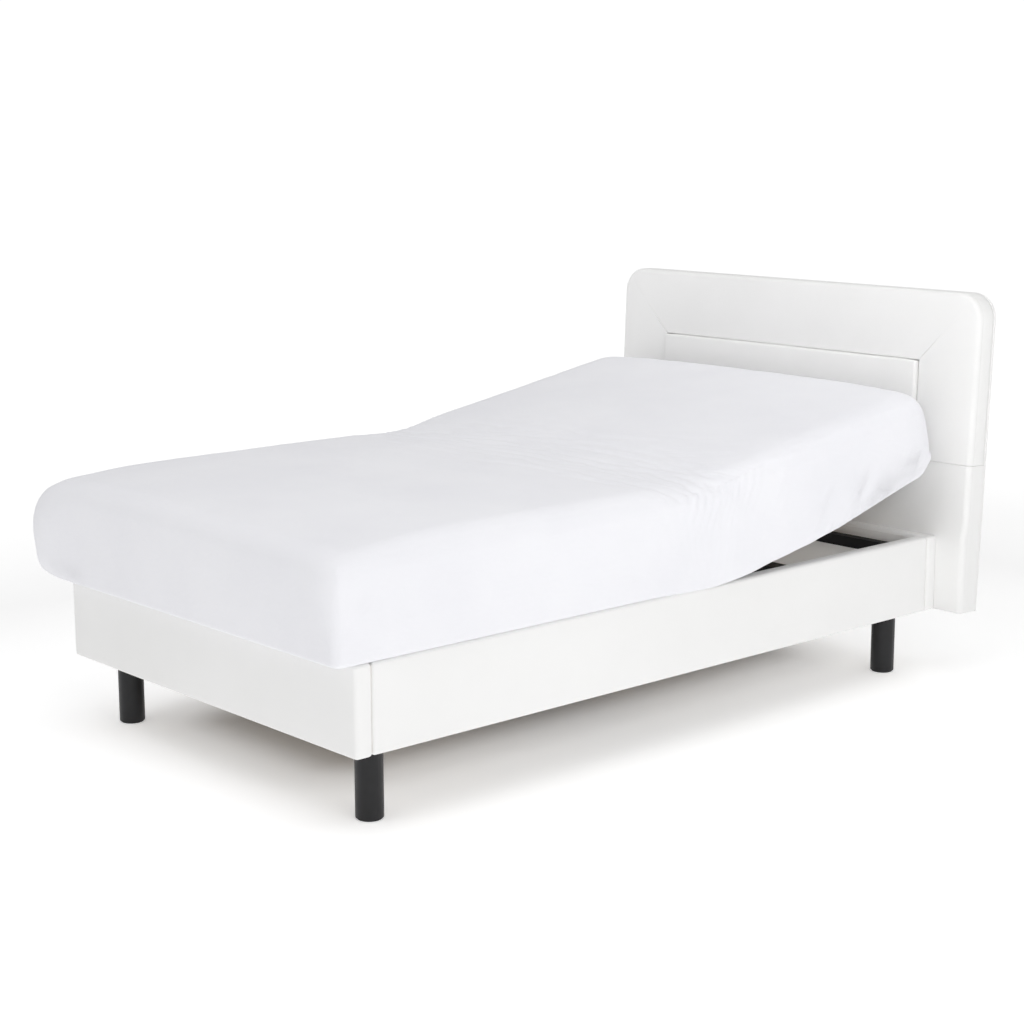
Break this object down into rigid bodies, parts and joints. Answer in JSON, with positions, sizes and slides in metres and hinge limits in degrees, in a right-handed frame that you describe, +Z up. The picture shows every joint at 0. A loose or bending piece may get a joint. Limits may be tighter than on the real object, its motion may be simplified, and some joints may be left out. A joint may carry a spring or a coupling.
{
  "type": "adjustable bed",
  "caption": "Powered adjustable bed: upholstered box base on round legs, tilting slatted back, thigh and calf sections, padded headboard, and a sheeted mattress that bends with the deck.",
  "frame": {"origin": "middle of the whole footprint, on the floor", "axes": "+Z up, +Y towards the headboard, +X to the sleeper's left when lying on the back with the head at the headboard"},
  "size_m": [1.334, 2.1678, 1.0412],
  "materials": {
    "matte_black_plastic": "matte",
    "black_leg": "satin",
    "timber": "matte",
    "upholstery": "satin",
    "black_steel": "satin",
    "slat_wood": "satin",
    "actuator_plastic": "satin",
    "motor": "matte",
    "zinc": "satin",
    "sheet": "matte"
  },
  "bodies": {
    "box_and_headboard": {"leg_glides": "matte_black_plastic", "legs": "black_leg", "corner_blocks": "timber", "side_boards": "timber", "foot_board": "timber", "head_board": "timber", "side_cover_right": "upholstery", "side_cover_left": "upholstery", "foot_cover": "upholstery", "head_cover": "upholstery", "corner_brackets": "black_steel", "chassis_side_tubes": "black_steel", "chassis_cross_tubes": "black_steel", "chassis_brackets": "black_steel", "bearing_plates": "black_steel", "seat_rails": "black_steel", "seat_slats": "slat_wood", "seat_slat_caps": "matte_black_plastic", "actuator_brackets": "black_steel", "back_actuator_body": "actuator_plastic", "back_actuator_motor": "motor", "leg_actuator_body": "actuator_plastic", "leg_actuator_motor": "motor", "control_box": "actuator_plastic", "calf_link_posts": "black_steel", "headboard_core": "timber", "headboard_lower_pad": "upholstery", "headboard_wing_right": "upholstery", "headboard_wing_left": "upholstery", "headboard_top_pad": "upholstery", "headboard_centre_pad": "upholstery", "headboard_back_pad": "upholstery", "headboard_bolts": "zinc"},
    "back_section": {"back_rails": "black_steel", "back_end_bar": "black_steel", "back_torque_tube": "black_steel", "back_levers": "black_steel", "back_slats": "slat_wood", "back_slat_caps": "matte_black_plastic"},
    "thigh_section": {"thigh_rails": "black_steel", "thigh_torque_tube": "black_steel", "thigh_levers": "black_steel", "thigh_slats": "slat_wood", "thigh_slat_caps": "matte_black_plastic", "knee_hinges": "black_steel"},
    "calf_section": {"calf_rails": "black_steel", "calf_end_bar": "black_steel", "calf_slats": "slat_wood", "calf_slat_caps": "matte_black_plastic", "calf_link_pins": "zinc"},
    "calf_links": {"calf_link_right": "black_steel", "calf_link_left": "black_steel"},
    "back_push_rod": {"back_actuator_rod": "zinc"},
    "leg_push_rod": {"leg_actuator_rod": "zinc"},
    "mattress_seat": {"mattress_seat": "sheet", "mattress_hip_fold": "sheet", "mattress_thigh_fold": "sheet"},
    "mattress_back": {"mattress_back": "sheet"},
    "mattress_thigh": {"mattress_thigh": "sheet"},
    "mattress_calf": {"mattress_calf": "sheet"}
  },
  "joints": [
    {"name": "back_tilt", "type": "hinge", "parent": "box_and_headboard", "child": "back_section", "pos_m": [0, 0.066, 0.348], "axis": [1, 0, 0], "range_deg": [-10, 45]},
    {"name": "thigh_tilt", "type": "hinge", "parent": "box_and_headboard", "child": "thigh_section", "pos_m": [0, -0.284, 0.348], "axis": [-1, 0, 0], "range_deg": [0, 30]},
    {"name": "knee_fold", "type": "hinge", "parent": "thigh_section", "child": "calf_section", "pos_m": [0, -0.584, 0.348], "axis": [-1, 0, 0], "range_deg": [-47.01, 0]},
    {"name": "calf_link_swing", "type": "hinge", "parent": "box_and_headboard", "child": "calf_links", "pos_m": [0, -0.53, 0.345], "axis": [-1, 0, 0], "range_deg": [0, 41.2]},
    {"name": "back_push", "type": "slide", "parent": "box_and_headboard", "child": "back_push_rod", "axis": [0, 1, 0], "range_m": [-0.0198, 0.0887]},
    {"name": "leg_push", "type": "slide", "parent": "box_and_headboard", "child": "leg_push_rod", "axis": [0, -1, 0], "range_m": [0, 0.0558]},
    {"name": "mattress_lift", "type": "slide", "parent": "box_and_headboard", "child": "mattress_seat", "axis": [0, 0, 1], "range_m": [0, 0.6]},
    {"name": "mattress_back_bend", "type": "hinge", "parent": "mattress_seat", "child": "mattress_back", "pos_m": [0, 0.066, 0.348], "axis": [1, 0, 0], "range_deg": [-10.01, 45.01], "deforming": ["mattress_hip_fold"]},
    {"name": "mattress_thigh_bend", "type": "hinge", "parent": "mattress_seat", "child": "mattress_thigh", "pos_m": [0, -0.284, 0.348], "axis": [-1, 0, 0], "range_deg": [0, 30.01], "deforming": ["mattress_thigh_fold"]},
    {"name": "mattress_knee_bend", "type": "hinge", "parent": "mattress_thigh", "child": "mattress_calf", "pos_m": [0, -0.584, 0.348], "axis": [-1, 0, 0], "range_deg": [-47.02, 0]}
  ],
  "couplings": [
    {"joint": "knee_fold", "follows": "thigh_tilt", "ratio": -1.5667},
    {"joint": "calf_link_swing", "follows": "thigh_tilt", "ratio": 1.372},
    {"joint": "back_push", "follows": "back_tilt", "m_per_rad": 0.1128},
    {"joint": "leg_push", "follows": "thigh_tilt", "m_per_rad": 0.1064},
    {"joint": "mattress_back_bend", "follows": "back_tilt", "ratio": 1},
    {"joint": "mattress_thigh_bend", "follows": "thigh_tilt", "ratio": 1},
    {"joint": "mattress_knee_bend", "follows": "thigh_tilt", "ratio": -1.5667}
  ]
}
